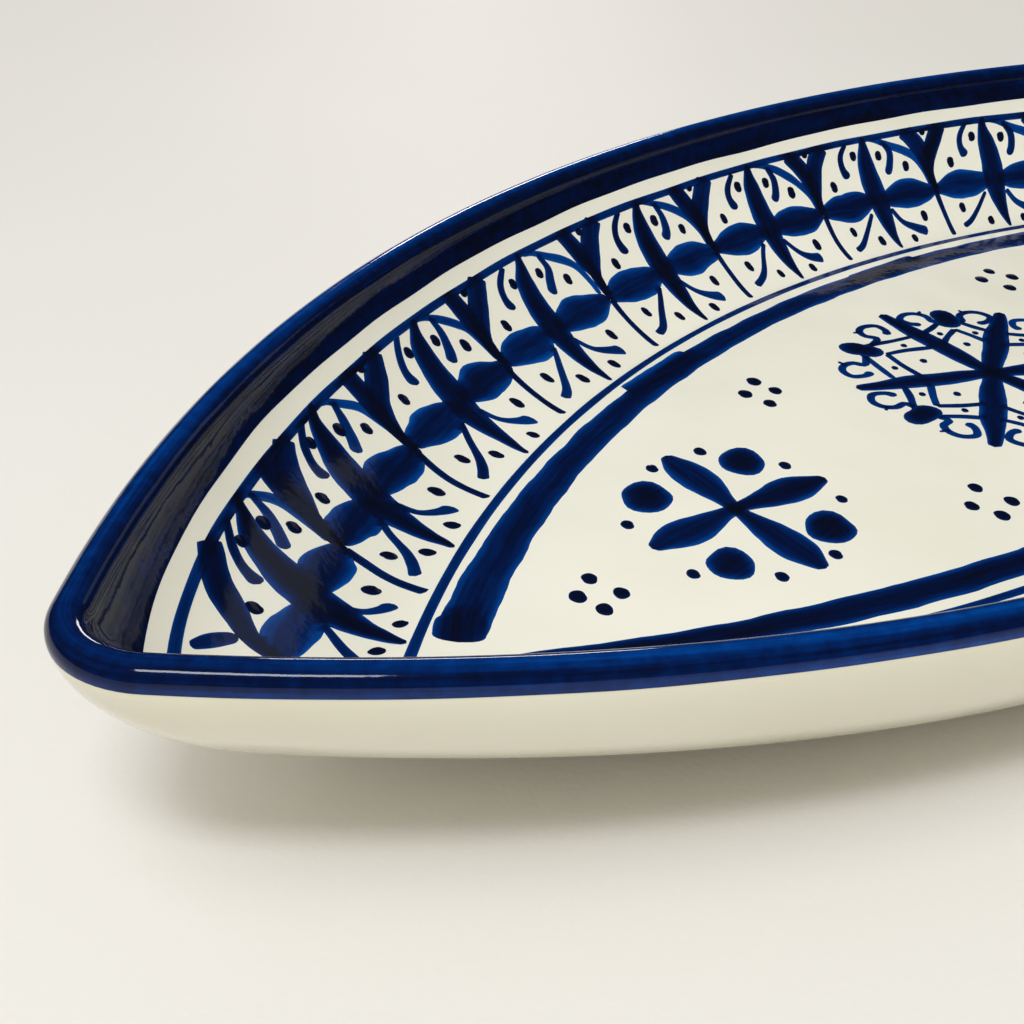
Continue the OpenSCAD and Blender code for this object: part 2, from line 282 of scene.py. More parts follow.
def hoop(build, top, under, normals, load, streak, caps=False):
    """A skin round the whole dish. top and under are grids of rows of points: the upper face, and
    the lower one in the same order. With caps, the first row is filled in, above and below."""
    rows, columns = top.shape[:2]
    size = rows * columns
    faces = flipped(grid_faces(rows, columns, True))
    faces += grid_faces(rows, columns, True, size)
    ends = [rows - 1] if caps else [0, rows - 1]
    for i in ends:
        for j in range(columns):
            k = (j + 1) % columns
            side = (i * columns + j, i * columns + k, size + i * columns + k, size + i * columns + j)
            faces.append(side if i == 0 else side[::-1])
    if caps:
        faces.append(tuple(range(columns)))
        faces.append(tuple(range(size + columns - 1, size - 1, -1)))
    build.add(
        np.concatenate([top.reshape(-1, 3), under.reshape(-1, 3)]),
        faces,
        np.concatenate([normals.reshape(-1, 3), -normals.reshape(-1, 3)]),
        np.tile(np.broadcast_to(load, (rows, columns)).ravel(), 2),
        np.tile(np.broadcast_to(streak, (rows, columns, 3)).reshape(-1, 3), (2, 1)),
    )


# ---- Brush strokes ----

# Across a stroke: the edges dip just under the glaze and the rest lies a hair over it
ACROSS = np.array([-1.0, -0.9, -0.62, -0.3, 0.0, 0.3, 0.62, 0.9, 1.0])
EDGE_DIP = -0.04
UNDERSIDE = -0.1
STROKE_TOP = 0.05
LAYER_STEP = 0.025


def lifts(share, layer):
    """Height over the glaze at a share of the half width, or of a dab's radius."""
    top = STROKE_TOP + LAYER_STEP * layer
    share = np.abs(share)
    return np.where(share > 0.95, EDGE_DIP, top * (1 - 0.25 * share**3))


# Points between two stations, and how much closer together a stroke's points are at its ends
SPLINE_STEPS = 12
END_CROWDING = 0.55


class Stroke:
    """A brush stroke in a flat chart, through stations (x, y, half width)."""

    def __init__(self, stations, count=26, cap=(1.0, 1.0), core=0.8, rim=0.32, layer=0, wander=0.12):
        self.layer = layer
        self.core = min(core * rng.uniform(0.9, 1.08), 0.97)
        self.rim = rim
        self.centre, self.half, self.run = self.resample(stations, count, cap, wander)
        self.seed = rng.uniform(0, 40)
        slope = np.gradient(self.centre, axis=0)
        slope /= np.maximum(np.linalg.norm(slope, axis=1, keepdims=True), 1e-9)
        self.across = np.stack([-slope[:, 1], slope[:, 0]], 1)
        pad = self.half.max()
        self.low = self.centre.min(0) - pad
        self.high = self.centre.max(0) + pad

    @staticmethod
    def resample(stations, count, cap, wander):
        p = np.array(stations, float)
        p = np.vstack([2 * p[0] - p[1], p, 2 * p[-1] - p[-2]])
        u = np.linspace(0, 1, SPLINE_STEPS, endpoint=False)[:, None]
        dense = [
            0.5 * (2 * b + (c - a) * u + (2 * a - 5 * b + 4 * c - d) * u**2
                   + (3 * b - a - 3 * c + d) * u**3)
            for a, b, c, d in zip(p, p[1:], p[2:], p[3:])
        ]
        dense = np.vstack(dense + [p[-2:-1]])
        steps = np.hypot(*np.diff(dense[:, :2], axis=0).T)
        length = np.concatenate([[0], np.cumsum(steps)])
        even = np.linspace(0, 1, count)
        crowded = 0.5 - 0.5 * np.cos(math.pi * even)
        run = length[-1] * (END_CROWDING * crowded + (1 - END_CROWDING) * even)
        centre = np.stack([np.interp(run, length, dense[:, k]) for k in (0, 1)], 1)
        half = np.maximum(np.interp(run, length, dense[:, 2]), 0.05)
        phase = rng.uniform(0, 2 * math.pi, 4)
        half = half * (1 + 0.02 * np.sin(run * 0.6 + phase[0]) + 0.012 * np.sin(run * 1.6 + phase[1]))
        sway = wander * np.stack([np.sin(run * 0.35 + phase[2]), np.sin(run * 0.5 + phase[3])], 1)
        for distance, roundness, end in ((run, cap[0], 0), (run[-1] - run, cap[1], -1)):
            reach = max(half[end] * roundness, 1e-3)
            near = 1 - np.clip(distance / reach, 0, 1)
            half = half * np.sqrt(np.maximum(1 - near**2, 0.002))
        return centre + sway, half, run

    def share_at(self, xy):
        """How far off the centre line points are, as a share of the half width there."""
        a = self.centre[:-1]
        d = self.centre[1:] - a
        rel = xy[:, None, :] - a[None]
        t = np.clip((rel * d).sum(-1) / np.maximum((d * d).sum(-1), 1e-9), 0, 1)
        gap = np.linalg.norm(rel - t[..., None] * d, axis=-1)
        half = self.half[:-1] + t * np.diff(self.half)
        return (gap / np.maximum(half, 1e-3)).min(1)

    def colour_at(self, xy):
        """Load of paint that this stroke lays at points, 0 where it doesn't reach."""
        result = np.zeros(len(xy))
        near = ((xy > self.low) & (xy < self.high)).all(1)
        if near.any():
            share = self.share_at(xy[near])
            body = self.rim + (self.core - self.rim) * (1 - np.clip(share, 0, 1) ** 3)
            result[near] = np.where(share < 1, body, 0)
        return result


def overlaid(strokes, xy):
    """Load of everything painted at points, each stroke letting what is under it show."""
    bare = np.ones(len(xy))
    for s in strokes:
        bare *= 1 - s.colour_at(xy)
    return 1 - bare


def lay_stroke(build, stroke, place, everything):
    """Adds a stroke as a closed strip. place maps chart points and heights to points, normals."""
    n = len(stroke.centre)
    k = len(ACROSS)
    reach = stroke.half[:, None] * stroke.across
    xy = stroke.centre[:, None] + ACROSS[None, :, None] * reach[:, None]
    xy = xy.reshape(-1, 2)
    share = np.tile(ACROSS, n)
    top, normals = place(xy, lifts(share, stroke.layer))
    under, _ = place(xy, np.full(n * k, UNDERSIDE))
    own = stroke.rim + (stroke.core - stroke.rim) * (1 - np.abs(share) ** 3)
    others = [s for s in everything if s is not stroke]
    load = 1 - (1 - own) * (1 - overlaid(others, xy))
    streak = np.stack([np.repeat(stroke.run, k), share * np.repeat(stroke.half, k),
                       np.full(n * k, stroke.seed)], 1)
    add_closed(build, n, k, top, under, normals, load, streak)


def add_closed(build, n, k, top, under, normals, load, streak):
    """A strip of n by k points with a top, an underside and walls."""
    size = n * k
    faces = grid_faces(n, k, False)
    faces += flipped(grid_faces(n, k, False, size))
    for i in range(n - 1):
        for j, turn in ((0, 1), (k - 1, -1)):
            a, b = i * k + j, (i + 1) * k + j
            faces.append((a, b, b + size, a + size)[::turn])
    for i, turn in ((0, -1), (n - 1, 1)):
        for j in range(k - 1):
            a, b = i * k + j, i * k + j + 1
            faces.append((a, b, b + size, a + size)[::turn])
    # The chart's x and y turn into surface directions whose sense differs between charts
    mid = k * (n // 2) + k // 2
    turn = np.cross(top[mid + 1] - top[mid], top[mid + k] - top[mid]) @ normals[mid]
    build.add(
        np.concatenate([top, under]),
        faces if turn > 0 else flipped(faces),
        np.concatenate([normals, -normals]),
        np.tile(load, 2),
        np.tile(streak, (2, 1)),
    )


DAB_RINGS = np.array([0.0, 0.35, 0.62, 0.82, 0.93, 1.0])
DAB_STEPS = 22
DOME_LEAN = 2.2


def lay_dab(build, centre, radius, place, stretch=0.12, point=0.0, angle=0.0, core=0.97,
            rim=0.75, layer=0, dome=0.0, round_to=3):
    """Adds a dot or dab of colour: a small closed cap with a slightly uneven outline."""
    phi = np.arange(DAB_STEPS) * 2 * math.pi / DAB_STEPS
    turn = phi - angle
    phase = rng.uniform(0, 2 * math.pi, 2)
    reach = radius * (1 + stretch * np.cos(2 * turn) + point * np.maximum(np.cos(turn), 0) ** 5
                      + 0.03 * np.sin(3 * phi + phase[0]) + 0.02 * np.sin(5 * phi + phase[1]))
    around = np.stack([np.cos(phi), np.sin(phi)], 1) * reach[:, None]
    centre = np.array(centre, float)
    xy = np.concatenate([[centre]] + [centre + r * around for r in DAB_RINGS[1:]])
    share = np.concatenate([[0.0]] + [np.full(DAB_STEPS, r) for r in DAB_RINGS[1:]])
    up = lifts(share, layer) + np.where(share > 0.95, 0, dome * (1 - share**2))
    top, normals = place(xy, up)
    under, _ = place(xy, np.full(len(xy), UNDERSIDE))
    faces = [(0, 1 + j, 1 + (j + 1) % DAB_STEPS) for j in range(DAB_STEPS)]
    for i in range(len(DAB_RINGS) - 2):
        for j in range(DAB_STEPS):
            m = (j + 1) % DAB_STEPS
            a = 1 + i * DAB_STEPS
            b = a + DAB_STEPS
            faces.append((a + j, b + j, b + m, a + m))
    size = len(xy)
    closed = faces + flipped([tuple(i + size for i in f) for f in faces])
    last = 1 + (len(DAB_RINGS) - 2) * DAB_STEPS
    for j in range(DAB_STEPS):
        m = (j + 1) % DAB_STEPS
        closed.append((last + j, size + last + j, size + last + m, last + m))
    sense = np.cross(top[1] - top[0], top[1 + DAB_STEPS // 4] - top[0]) @ normals[0]
    load = rim + (core - rim) * (1 - share**round_to)
    seed = rng.uniform(0, 40)
    rel = xy - centre
    streak = np.concatenate([rel, np.full((size, 1), seed)], 1)
    if dome:
        # A raised dot bends its own reflections
        lean = (top - top[0]) - ((top - top[0]) * normals).sum(1, keepdims=True) * normals
        normals = unit(normals + lean * (DOME_LEAN * dome / radius**2))
    build.add(
        np.concatenate([top, under]),
        closed if sense > 0 else flipped(closed),
        np.concatenate([normals, -normals]),
        np.tile(load, 2),
        np.tile(streak, (2, 1)),
    )


# ---- Charts: flat drawing planes and how they lie on the dish ----

SIDE_SCALE = 187.0
RISE_SCALE = 32.0
LINE_ANGLE = 66.0
RISE_POWER = 0.78


def wall_place(side):
    """Chart of one long side, as a function that lays chart points on it. Chart x is millimetres
    along from mid side, chart y up from the floor."""

    def place(xy, above):
        g = xy[:, 0] / SIDE_SCALE
        t = np.maximum(xy[:, 1] / RISE_SCALE, 0)
        v = 1 - (1 - TIP_SHARE) * g + (0 if side > 0 else 2)
        q = LINE_ANGLE * t**RISE_POWER
        return skin(v, q, above), skin_normal(v, q)

    return place


def floor_place(xy, above):
    points = np.column_stack([xy, FLOOR_Z + above])
    return points, np.tile([0.0, 0.0, 1.0], (len(xy), 1))


# ---- Materials ----


def linear(*rgb):
    """Linear colour from 0-255 display values."""
    return tuple(
        c / 255 / 12.92 if c <= 10 else ((c / 255 + 0.055) / 1.055) ** 2.4 for c in rgb
    ) + (1.0,)


GLAZE_IOR = 1.5
GLAZE_SPECULAR = 0.5
PAINT_SPECULAR = 0.2
GLAZE_ROUGHNESS = 0.07
COAT = 0.05
COAT_ROUGHNESS = 0.03


class Nodes:
    """A material and a short way to add and join its nodes."""

    def __init__(self, name):
        self.material = bpy.data.materials.new(name)
        self.material.use_nodes = True
        self.tree = self.material.node_tree
        self.shader = self.tree.nodes["Principled BSDF"]

    def add(self, kind, settings=None, **inputs):
        made = self.tree.nodes.new(kind)
        for key, value in (settings or {}).items():
            setattr(made, key, value)
        for key, value in inputs.items():
            self.set(made, key.replace("_", " "), value)
        return made

    def set(self, made, key, value):
        socket = made.inputs[int(key)] if key.isdigit() else made.inputs[key]
        if isinstance(value, bpy.types.NodeSocket):
            self.tree.links.new(value, socket)
        else:
            socket.default_value = value

    def math(self, operation, a, b=0.0, clamp=False):
        made = self.add("ShaderNodeMath", {"operation": operation, "use_clamp": clamp})
        self.set(made, "0", a)
        self.set(made, "1", b)
        return made.outputs[0]

    def noise(self, vector, scale, detail=3.0, roughness=0.5):
        made = self.add("ShaderNodeTexNoise", Scale=scale, Detail=detail, Roughness=roughness)
        self.set(made, "Vector", vector)
        return made.outputs["Fac"]

    def ramp(self, value, stops):
        made = self.add("ShaderNodeValToRGB")
        ends = made.color_ramp.elements
        ends[0].position, ends[0].color = stops[0]
        ends[1].position, ends[1].color = stops[-1]
        for place, colour in stops[1:-1]:
            made.color_ramp.elements.new(place).color = colour
        self.set(made, "Fac", value)
        return made.outputs["Color"]

    def bump(self, height, distance, strength=1.0, below=None):
        made = self.add("ShaderNodeBump", Strength=strength, Distance=distance)
        self.set(made, "Height", height)
        if below is not None:
            self.set(made, "Normal", below)
        return made.outputs["Normal"]

    def mix(self, share, first, second):
        """Blends two colours. The colour sockets of the node are its 7th and 8th."""
        made = self.add("ShaderNodeMix", {"data_type": "RGBA"})
        for socket, value in (("0", share), ("6", first), ("7", second)):
            self.set(made, socket, value)
        return made.outputs[2]

    def swing(self, value, size):
        """A noise value as a swing either side of nothing."""
        return self.math("MULTIPLY", self.math("SUBTRACT", value, 0.5), size)

    def rough(self, value, low, high):
        made = self.add("ShaderNodeMapRange", Value=value)
        self.set(made, "To Min", low)
        self.set(made, "To Max", high)
        self.set(self.shader, "Roughness", made.outputs["Result"])

    def place(self):
        return self.add("ShaderNodeTexCoord").outputs["Object"]

    def glossy(self, specular):
        """Fired glaze: mirror-like, uneven like thick glass poured over clay by hand."""
        where = self.place()
        slow = self.bump(self.noise(where, 34.0, 1.0), 0.0009)
        fine = self.bump(self.noise(where, 330.0, 2.0), 0.000035, 1.0, slow)
        self.set(self.shader, "Normal", fine)
        smear = self.noise(where, 60.0, 4.0)
        self.rough(smear, GLAZE_ROUGHNESS * 0.7, GLAZE_ROUGHNESS * 1.5)
        self.shader.inputs["IOR"].default_value = GLAZE_IOR
        self.shader.inputs["Specular IOR Level"].default_value = specular
        self.shader.inputs["Coat Weight"].default_value = COAT
        self.shader.inputs["Coat Roughness"].default_value = COAT_ROUGHNESS
        return where


def white_glaze(name, light, dark):
    """Tin glaze: cream-white clouds, with a few dark specks."""
    nodes = Nodes(name)
    where = nodes.glossy(GLAZE_SPECULAR)
    clouds = nodes.ramp(nodes.noise(where, 22.0, 3.0), [(0.3, dark), (0.7, light)])
    specks = nodes.add("ShaderNodeTexVoronoi", Scale=90.0, Randomness=1.0)
    nodes.set(specks, "Vector", where)
    size = nodes.noise(where, 41.0, 0.0)
    reach = nodes.math("MULTIPLY", nodes.math("SUBTRACT", size, 0.66, True), 0.28)
    spot = nodes.math("LESS_THAN", specks.outputs["Distance"], reach)
    speckled = nodes.mix(nodes.math("MULTIPLY", spot, 0.6), clouds, linear(120, 104, 84))
    nodes.set(nodes.shader, "Base Color", speckled)
    return nodes.material


COBALT = [
    (0.0, linear(70, 130, 190)),
    (0.2, linear(20, 92, 166)),
    (0.36, linear(4, 66, 142)),
    (0.52, linear(3, 48, 114)),
    (0.68, linear(4, 32, 84)),
    (0.82, linear(6, 20, 58)),
    (0.93, linear(8, 15, 40)),
    (1.0, linear(10, 13, 26)),
]


def cobalt_paint(name, streaks=0.4, mottle=0.16, along=0.09, across=1.1, grain=160.0):
    """Brushed cobalt under the glaze. The load carried by the mesh sets how dark it is, and the
    brush's hairs leave streaks along the stroke."""
    nodes = Nodes(name)
    where = nodes.glossy(PAINT_SPECULAR)
    load = nodes.add("ShaderNodeAttribute", {"attribute_name": "paint_load"}).outputs["Fac"]
    run = nodes.add("ShaderNodeAttribute", {"attribute_name": "streak"}).outputs["Vector"]
    stretch = nodes.add("ShaderNodeMapping")
    nodes.set(stretch, "Vector", run)
    stretch.inputs["Scale"].default_value = (along, across, 1.0)
    hairs = nodes.noise(stretch.outputs["Vector"], 1.0, 4.0, 0.6)
    patches = nodes.noise(where, grain, 3.0, 0.6)
    total = nodes.math("ADD", load, nodes.swing(hairs, streaks))
    total = nodes.math("ADD", total, nodes.swing(patches, mottle), True)
    nodes.set(nodes.shader, "Base Color", nodes.ramp(total, COBALT))
    return nodes.material


def bare_clay(name):
    """Unglazed fired earthenware: warm buff, gritty, with darker grains."""
    nodes = Nodes(name)
    where = nodes.place()
    tone = nodes.noise(where, 55.0, 5.0, 0.6)
    colour = nodes.ramp(tone, [(0.3, linear(168, 120, 84)), (0.55, linear(196, 150, 112)),
                               (0.75, linear(212, 172, 136))])
    grains = nodes.noise(where, 1400.0, 2.0, 0.7)
    dark_grains = nodes.math("GREATER_THAN", grains, 0.66)
    nodes.set(nodes.shader, "Base Color", nodes.mix(dark_grains, colour, linear(120, 78, 52)))
    nodes.rough(grains, 0.72, 0.95)
    coarse = nodes.bump(tone, 0.0006)
    nodes.set(nodes.shader, "Normal", nodes.bump(grains, 0.0002, 1.0, coarse))
    return nodes.material


INSIDE_WHITE = white_glaze("inside_white", linear(240, 237, 224), linear(232, 229, 214))
# The outside glaze is the same tin glaze as the inside one, set a little darker and yellower: the
# darkening is painted shade for the outside wall.
OUTSIDE_WHITE_SHADED = white_glaze("outside_white_shaded", linear(236, 232, 214), linear(226, 221, 200))
BAND_BLUE = cobalt_paint("band_blue", 0.5, 0.34, along=0.035, across=0.9, grain=420.0)
STROKE_BLUE = cobalt_paint("stroke_blue")
DENSE_BLUE = cobalt_paint("dense_blue", 0.34)
INK_BLUE = cobalt_paint("ink_blue", 0.1, 0.08)
CLAY = bare_clay("bare_clay")


# ---- Skins: clay, foot, glazes and rim band ----

GLAZE = 0.5
BAND_INNER = 72.0
BAND_OUTER = 272.0
OVERLAP = 3.0
BASE_EDGE = 360.0


def near_tip(v):
    """1 at the pointed ends and 0 a short way from them."""
    return np.abs((v % 2) - 1) ** 12


def band_inner(v):
    """Where the rim band ends inside. It comes a little lower towards the tips."""
    return BAND_INNER + 0.4 - 10.0 * near_tip(v) + wobble(v, 1.1, 3)


def band_outer(v):
    return BAND_OUTER + wobble(v, 0.5, 4)


def rows(qs, above):
    return skin(ROUND[None, :], qs, above)


def row_normals(q):
    shape = (len(q), len(ROUND))
    return skin_normal(np.broadcast_to(ROUND, shape), np.broadcast_to(q, shape))


def streak_of(v, across, seed):
    length = v * SIDE_SCALE
    return np.stack(np.broadcast_arrays(length, across, seed), -1)


def clay_body():
    q = np.concatenate([[0], np.linspace(4, 88, 15), np.linspace(90, 270, 13),
                        np.linspace(280, BASE_EDGE, 14)])[:, None]
    top = rows(q, -GLAZE)
    build = Build()
    count = len(ROUND)
    base = skin(ROUND, BASE_EDGE, 0.0)[None]
    points = np.concatenate([top, base])
    faces = flipped(grid_faces(len(q) + 1, count, True))
    faces.append(tuple(range(count)))
    last = len(q) * count
    faces.append(tuple(range(last + count - 1, last - 1, -1)))
    normals = row_normals(q)
    down = np.tile([0.0, 0.0, -1.0], (1, count, 1))
    build.add(points.reshape(-1, 3), faces, np.concatenate([normals, down]).reshape(-1, 3))
    return build.make("clay_body", "clay", CLAY, "shell")


FOOT_SOFTENING = 0.9
FOOT_INNER_TIP = 4.0


def foot_ring():
    """Turned foot: a low ring with softened edges, standing flat."""
    soft = FOOT_SOFTENING
    outer = [(0.0, FOOT_TOP), (0.0, soft), (soft * 0.3, soft * 0.3), (soft, 0.0)]
    inner = [(FOOT_WALL - soft, 0.0), (FOOT_WALL - soft * 0.3, soft * 0.3),
             (FOOT_WALL, soft), (FOOT_WALL, FOOT_TOP)]
    rings = []
    for inset, z in outer + inner:
        r = BASE_TIP - inset * (BASE_TIP - FOOT_INNER_TIP) / FOOT_WALL
        x, y = outline(ROUND, FOOT_A - inset, FOOT_B - inset, r)
        rings.append(np.stack([x, y, np.full_like(x, z)], 1))
    rings.append(rings[0])
    points = np.stack(rings[:-1])
    n, count = points.shape[:2]
    faces = flipped(grid_faces(n, count, True))
    for j in range(count):
        k = (j + 1) % count
        faces.append(((n - 1) * count + k, (n - 1) * count + j, j, k)[::-1])
    build = Build()
    build.add(points.reshape(-1, 3), faces, np.zeros((n * count, 3)))
    return build.make("foot_ring", "clay", CLAY, "turned")


def inside_glaze():
    top_q = BAND_INNER + OVERLAP
    q = np.linspace(0, top_q, 42)[:, None]
    build = Build()
    hoop(build, rows(q, 0.0), rows(q, -GLAZE), row_normals(q), 0.0, (0.0, 0.0, 0.0), caps=True)
    return build.make("inside_glaze", "white_glaze", INSIDE_WHITE, "skin")


def outside_glaze():
    q = np.linspace(BAND_OUTER - OVERLAP, BASE_EDGE, 34)[:, None]
    build = Build()
    hoop(build, rows(q, 0.0), rows(q, -GLAZE), row_normals(q), 0.0, (0.0, 0.0, 0.0))
    # Its white carries painted shade for the outside wall.
    return build.make("outside_glaze", "outside_glaze", OUTSIDE_WHITE_SHADED, "skin")


# Where round the lip the band's colour is thinnest, how far that reaches, and how thin it gets
CREST = 186.0
CREST_REACH = 34.0
CREST_THINNING = 0.46


def rim_band():
    """The band over the lip. Colour pools below the lip inside and thins on its crest."""
    low = band_inner(ROUND)
    high = band_outer(ROUND)
    part = np.linspace(0, 1, 11) ** 1.3 * 0.5
    inside = [low + (LIP_START - low) * p / 0.5 for p in part[:-1]]
    lip = [np.full_like(low, q) for q in np.linspace(LIP_START, LIP_END, 25)]
    outside = [LIP_END + (high - LIP_END) * p for p in (0.3, 0.6, 0.85, 0.97, 1.0)]
    inside.insert(1, low + 0.45)
    q = np.stack(inside + lip + outside)
    above = np.full_like(q, STROKE_TOP)
    above[0] = EDGE_DIP
    above[-1] = EDGE_DIP
    v = np.broadcast_to(ROUND, q.shape)
    crest = np.exp(-(((q - CREST) / CREST_REACH) ** 2))
    outer = np.clip((q - 230) / 40, 0, 1)
    thin = CREST_THINNING * (1 - 0.6 * np.abs((v % 2) - 1) ** 4)
    load = 0.9 - thin * np.maximum(crest, 0.9 * outer)
    for row, value in ((0, 0.55), (1, 0.8), (-1, 0.42), (-2, 0.6)):
        load[row] = value
    build = Build()
    hoop(build, skin(v, q, above), skin(v, q, -GLAZE * 0.6), skin_normal(v, q), load,
         streak_of(v, q * 0.1, 5.0))
    return build.make("rim_band", "cobalt_band", BAND_BLUE, "glaze")


# ---- Painted border of the wall ----

# Middles of a side's leaves, from one tip to the other, in shares of the side's half length
LEAF_PLACES = [-0.891, -0.732, -0.534, -0.336, -0.123, 0.074, 0.268, 0.466, 0.664, 0.862]
END_STEP = 0.168
# The leaves lean towards one place along the side, each about a pivot part way up the wall
LEAN = 0.14
LEAN_FREE = 0.27
PIVOT = 0.46
LINE_LOW = 0.935
LINE_HIGH = 1.0


class Cell:
    """One repeat of the border, from its leaf to half way to the next ones."""

    def __init__(self, index):
        self.place = LEAF_PLACES[index]
        first, last = index == 0, index == len(LEAF_PLACES) - 1
        self.before = END_STEP if first else self.place - LEAF_PLACES[index - 1]
        self.after = END_STEP if last else LEAF_PLACES[index + 1] - self.place
        self.first = first
        self.last = last

    def at(self, u, t):
        """Chart millimetres of a place u repeats across from the leaf and t up."""
        step = self.after if u > 0 else self.before
        lean = LEAN * (LEAN_FREE - self.place - u * step)
        return (self.place + lean * (t - PIVOT) + u * step) * SIDE_SCALE, t * RISE_SCALE

    def stations(self, listed):
        jitter = rng.normal(0, 0.12, (len(listed), 2))
        return [(*np.add(self.at(u, t), j), w) for (u, t, w), j in zip(listed, jitter)]


LEAF = [(0.0, 0.985, 0.7), (0.0, 0.9, 1.3), (0.0, 0.775, 2.35), (0.0, 0.6, 3.05), (0.0, 0.5, 3.2),
        (0.0, 0.34, 2.7), (0.0, 0.17, 1.5), (0.0, 0.08, 0.85), (0.0, 0.01, 0.4)]
OVAL = [(0.03, PIVOT, 1.2), (0.11, PIVOT, 2.6), (0.19, PIVOT, 3.5), (0.27, PIVOT, 3.8),
        (0.35, PIVOT, 3.4), (0.43, PIVOT, 2.3), (0.505, PIVOT, 1.0)]
ARM = [(0.135, 0.97, 2.3), (0.07, 0.84, 2.4), (0.026, 0.72, 2.15), (0.0, 0.59, 1.35),
       (0.0, 0.46, 0.9)]
TICK = [(0.0, 0.97, 1.1), (0.0, 0.9, 0.7)]
ARCH = [(0.04, 0.955, 0.5), (0.12, 0.93, 0.8), (0.225, 0.87, 1.1), (0.33, 0.80, 1.2),
        (0.40, 0.72, 1.0), (0.45, 0.6, 0.8), (0.47, 0.5, 0.6)]
RIGHT_CURL = [(0.16, 0.91, 0.7), (0.2, 0.8, 0.95), (0.188, 0.7, 1.1), (0.15, 0.635, 1.15)]
LEFT_CURL = [(-0.145, 0.95, 0.7), (-0.2, 0.85, 0.85), (-0.212, 0.76, 0.95), (-0.185, 0.665, 1.5)]
RIGHT_CLUB = [(0.07, 0.37, 0.7), (0.13, 0.256, 0.85), (0.21, 0.187, 1.3), (0.295, 0.142, 1.75)]
LEFT_CLUB = [(-0.1, 0.38, 0.55), (-0.21, 0.24, 0.7), (-0.3, 0.153, 0.85), (-0.385, 0.11, 0.95)]
DIVIDER = [(0.0, 0.44, 0.85), (0.0, 0.25, 0.8), (0.0, 0.03, 0.85)]
DOTS = [(0.12, 0.79), (0.315, 0.665), (-0.11, 0.826), (-0.318, 0.636),
        (0.33, 0.262), (0.152, 0.09), (-0.326, 0.265), (-0.134, 0.127)]

# A small stroke that fills the pointed start of the border, in chart millimetres
TIP_FILLER = [(-182.5, 26.0, 0.9), (-180.5, 23.5, 1.6), (-178.5, 20.5, 1.1)]


BORDER_NODES = ("divider_strokes", "arch_strokes", "stem_strokes", "oval_strokes", "leaf_strokes",
                "curl_strokes", "club_strokes")
DARK_NODES = ("stem_strokes", "leaf_strokes")


def border_strokes():
    """Every stroke of one long side, by CAD node, in that side's chart."""
    made = {name: [] for name in BORDER_NODES}
    dots = []
    for index in range(len(LEAF_PLACES)):
        cell = Cell(index)

        def paint(node, listed, **how):
            made[node].append(Stroke(cell.stations(listed), **how))

        paint("leaf_strokes", LEAF, cap=(0.8, 0.5), core=0.92, rim=0.3, layer=4, count=34)
        for hand in (1, -1):
            paint("oval_strokes", [(hand * u, t, w) for u, t, w in OVAL], core=0.8, rim=0.2,
                  layer=3, cap=(0.6, 0.6))
        foot = rng.normal(0.495, 0.01)
        hands = ((foot, -1), (foot, 1)) if not cell.last else ((foot, -1),)
        if cell.first:
            hands += ((-foot, 1),)
            made["curl_strokes"].append(Stroke(TIP_FILLER, core=0.85, rim=0.4, cap=(0.6, 0.9)))
        for base, hand in hands:
            paint("stem_strokes", [(base + hand * u, t, w) for u, t, w in ARM], core=0.88, rim=0.45,
                  layer=2, cap=(0.3, 1.0))
        paint("stem_strokes", [(foot + u, t, w) for u, t, w in TICK], core=0.92, rim=0.6, layer=2,
              cap=(0.3, 1.0), count=12)
        paint("arch_strokes", ARCH, core=0.52, rim=0.3, layer=1)
        paint("curl_strokes", RIGHT_CURL, core=0.72, rim=0.36, cap=(0.5, 1.0))
        paint("curl_strokes", LEFT_CURL, core=0.78, rim=0.36, cap=(0.5, 0.9))
        paint("club_strokes", RIGHT_CLUB, core=0.66, rim=0.34, cap=(0.5, 0.55))
        paint("club_strokes", LEFT_CLUB, core=0.72, rim=0.38, cap=(0.5, 0.8))
        if not cell.last:
            paint("divider_strokes", [(foot + u, t, w) for u, t, w in DIVIDER], core=0.82, rim=0.45,
                  cap=(0.5, 0.7))
        slant = math.atan2(1.0, LEAN * (LEAN_FREE - cell.place) * SIDE_SCALE / RISE_SCALE)
        for u, t in DOTS:
            x, y = cell.at(u, t)
            dots.append(((x + rng.normal(0, 0.25), y + rng.normal(0, 0.25)), slant))
    return made, dots


def line_middle(v):
    """Height up the wall of the border line's middle, and its half width, in chart shares."""
    middle = (LINE_LOW + LINE_HIGH) / 2 - 0.18 * near_tip(v) + wobble(v, 0.01, 8)
    return middle, (LINE_HIGH - LINE_LOW) / 2 + wobble(v, 0.004, 9)


def painted_hoop(node, middle, half, strokes_by_side, core, rim, layer):
    """A line painted right round the wall, darker where other strokes cross it."""
    t = middle[None] + ACROSS[:, None] * half[None]
    v = np.broadcast_to(ROUND, t.shape)
    q = LINE_ANGLE * t**RISE_POWER
    share = np.broadcast_to(ACROSS[:, None], t.shape)
    load = rim + (core - rim) * (1 - np.abs(share) ** 3)
    for side, strokes in strokes_by_side:
        g = (1 - ((v - (0 if side > 0 else 2)) % 4)) / (1 - TIP_SHARE)
        near = np.abs(g) < 1.02
        xy = np.stack([g[near] * SIDE_SCALE, t[near] * RISE_SCALE], 1)
        load[near] = 1 - (1 - load[near]) * (1 - overlaid(strokes, xy))
    build = Build()
    hoop(build, skin(v, q, lifts(share, layer)), skin(v, q, UNDERSIDE), skin_normal(v, q), load,
         streak_of(v, share * 1.2, layer + 1.0))
    return build.make(node, "cobalt_paint", STROKE_BLUE)


def line_stroke(side):
    """The border line as a stroke of one side's chart, so that crossing strokes know of it."""
    g = np.linspace(-1, 1, 90)
    middle, half = line_middle(1 - (1 - TIP_SHARE) * g + (0 if side > 0 else 2))
    stations = np.stack([g * SIDE_SCALE, middle * RISE_SCALE, half * RISE_SCALE], 1)
    return Stroke(stations, count=200, core=0.6, rim=0.4, wander=0.0)


